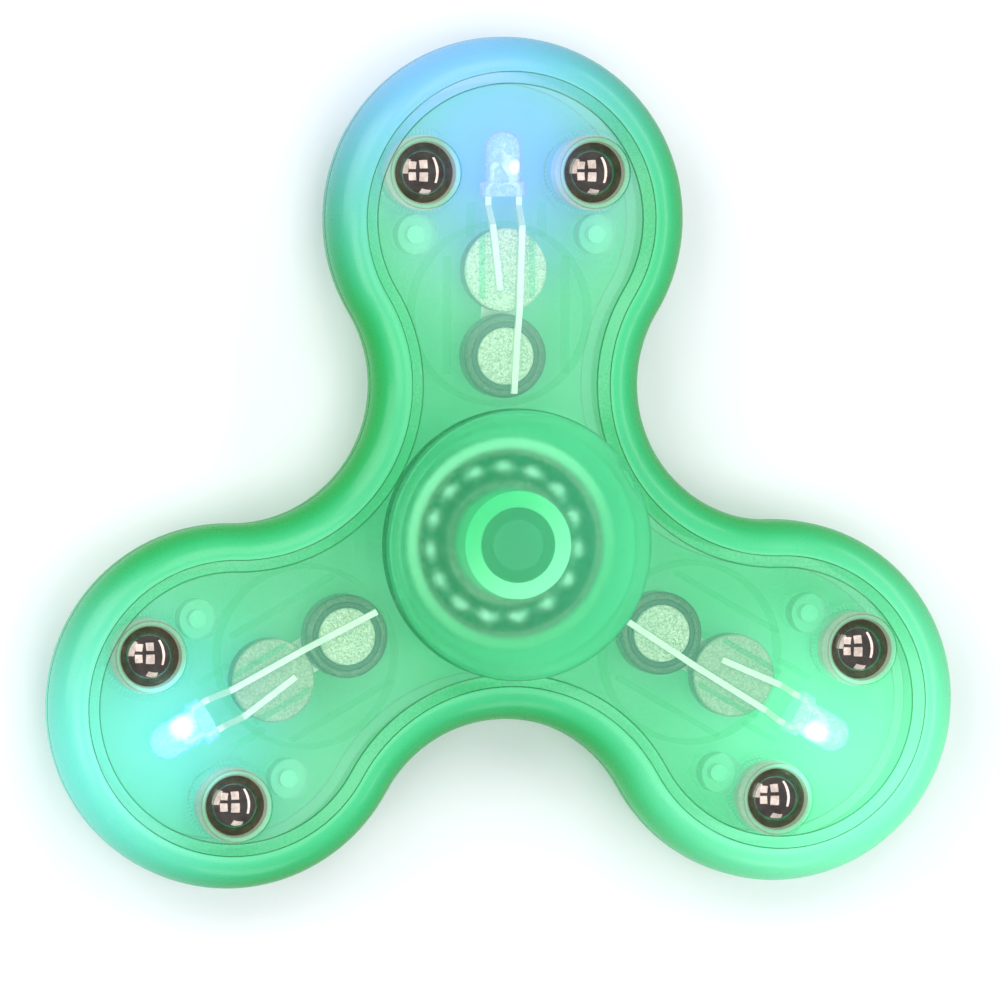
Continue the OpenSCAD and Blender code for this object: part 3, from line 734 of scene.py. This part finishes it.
def cell(name, node_prefix, arm, y, is_up, face_skin):
    """A button cell's can, gasket and lid; is_up turns its lid towards the front."""
    place = (arm_matrix(arm) @ Matrix.Translation((0, y, 0))
             @ Matrix.Rotation(0 if is_up else math.pi, 4, "X"))
    top = CELL_HALF - 0.14
    bm = bmesh.new()
    lathe(bm, place, eased([(0, -CELL_HALF), (CELL_R, -CELL_HALF, 0.3), (CELL_R, top, 0.35), (2.78, top, 0.1),
                            (2.78, top - 0.22), (CELL_R - 0.25, top - 0.22), (CELL_R - 0.25, 0.25 - CELL_HALF),
                            (0, 0.25 - CELL_HALF)], 5), 96, closed=False)
    back = place.inverted()
    for face in bm.faces:
        if (back @ face.calc_center_median()).z > 0.3 - CELL_HALF:
            face.material_index = 1
    finish_piece(bm, f"{name}_can_{arm}_plated", "rotor", [f"{node_prefix}_can_{arm}"],
                 [face_skin, can_side])
    bm = bmesh.new()
    lathe(bm, place, eased([(2.36, top - 0.7), (2.36, top - 0.02, 0.1), (2.76, top - 0.02, 0.1),
                            (2.76, top - 0.24), (3.13, top - 0.24), (3.13, 0.25 - CELL_HALF),
                            (2.87, 0.25 - CELL_HALF), (2.87, top - 0.7)], 3), 96)
    finish_piece(bm, f"{name}_gasket_{arm}_moulded", "rotor",
                 [f"{node_prefix}_gasket_{arm}"], [gasket_nylon])
    bm = bmesh.new()
    lathe(bm, place, eased([(0, 0.27 - CELL_HALF), (2.85, 0.27 - CELL_HALF), (2.85, top - 0.67), (2.33, top - 0.67),
                            (2.33, CELL_HALF, 0.2), (0, CELL_HALF)], 5), 96, closed=False)
    finish_piece(bm, f"{name}_lid_{arm}_plated", "rotor", [f"{node_prefix}_lid_{arm}"], [nickel])


for arm, slot in zip(ARMS, ("lamp_blue", "lamp_cyan", "lamp_green")):
    lens(arm)
    # Arms 2 and 3 take the darker, painted-shade copy of the outer cells' face.
    cell("outer_cell", "outer_cell", arm, OUTER_CELL_Y, False, nickel if arm == 1 else shaded_nickel)
    cell("inner_cell", "inner_cell", arm, INNER_CELL_Y, True, nickel)
    for node, material in ((f"lamp_anode_lead_{arm}", tin), (f"lamp_cathode_lead_{arm}", tin),
                           (f"contact_strip_{arm}", tin), (f"lamp_chip_{arm}", chip_metal)):
        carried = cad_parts[node]
        carried.data.materials.clear()
        carried.data.materials.append(material)


# ---------------------------------------------------------------- floor, lights and camera

def floor():
    size = 3.0
    mesh = bpy.data.meshes.new("studio_floor")
    mesh.from_pydata([(-size, -size, 0), (size, -size, 0), (size, size, 0), (-size, size, 0)], [], [(0, 1, 2, 3)])
    plane = bpy.data.objects.new("studio_floor", mesh)
    bpy.context.scene.collection.objects.link(plane)
    material, tree = blank("pale_floor")
    shader = add(tree, "ShaderNodeBsdfPrincipled", {"Base Color": (0.78, 0.79, 0.8, 1), "Roughness": 0.7})
    closed_material(tree, shader.outputs[0])
    mesh.materials.append(material)


def area_light(name, place, aim, width, height, power, colour=(1, 1, 1)):
    data = bpy.data.lights.new(name, "AREA")
    data.shape = "RECTANGLE"
    data.size, data.size_y = width, height
    data.energy = power
    data.color = colour
    light = bpy.data.objects.new(name, data)
    bpy.context.scene.collection.objects.link(light)
    back = (Vector(place) - Vector(aim)).normalized()
    across = Vector((0, 1, 0)).cross(back).normalized()
    light.matrix_world = (Matrix.Translation(place)
                          @ Matrix((across, back.cross(across), back)).transposed().to_4x4())


floor()
TARGET = Vector((0, 0, MIDDLE * MM))
area_light("left_light", (-0.8, 0.35, 0.5), TARGET, 0.5, 0.8, 3.6)
area_light("low_light", (0.2, -0.85, 0.45), TARGET, 0.5, 0.3, 1.3)
area_light("right_strip", (0.47, 0.1, 0.42), TARGET, 0.1, 0.9, 1.5)
for column in (-1, 1):
    for row in (-1, 1):
        area_light(f"window_pane_{column}_{row}", (-0.16 + 0.2 * column, 0.1 + 0.21 * row, 0.58), TARGET,
                   0.28, 0.3, 1.0)

world = bpy.data.worlds.new("studio")
world.use_nodes = True
bpy.context.scene.world = world
world.node_tree.nodes["Background"].inputs["Color"].default_value = (0.86, 0.92, 1.0, 1)
world.node_tree.nodes["Background"].inputs["Strength"].default_value = 0.4

CAMERA_YAW = math.radians(-12.28)
CAMERA_PITCH = math.radians(2.5)
CAMERA_ROLL = math.radians(0.13)
CAMERA_AWAY = 800
CAMERA_AIM = Vector((-0.19, 3.38, 0))
CAMERA_FRAME = 81.29
SENSOR = 36

camera_data = bpy.data.cameras.new("photo_view")
camera_data.sensor_width = SENSOR
camera_data.lens = SENSOR * CAMERA_AWAY / CAMERA_FRAME
camera = bpy.data.objects.new("photo_view", camera_data)
bpy.context.scene.collection.objects.link(camera)
bpy.context.scene.camera = camera
view = Vector((math.sin(CAMERA_YAW) * math.cos(CAMERA_PITCH), math.sin(CAMERA_PITCH),
               math.cos(CAMERA_YAW) * math.cos(CAMERA_PITCH)))
side_axis = Vector((0, 1, 0)).cross(view).normalized()
up_axis = view.cross(side_axis)
turned_side = side_axis * math.cos(CAMERA_ROLL) + up_axis * math.sin(CAMERA_ROLL)
turned_up = view.cross(turned_side)
spin = Matrix((turned_side, turned_up, view)).transposed().to_4x4()
camera.matrix_world = Matrix.Translation(HUB @ (CAMERA_AIM + CAMERA_AWAY * view)) @ spin

scene = bpy.context.scene
scene.view_settings.view_transform = "Standard"
scene.cycles.transparent_max_bounces = 32
scene.cycles.max_bounces = 16
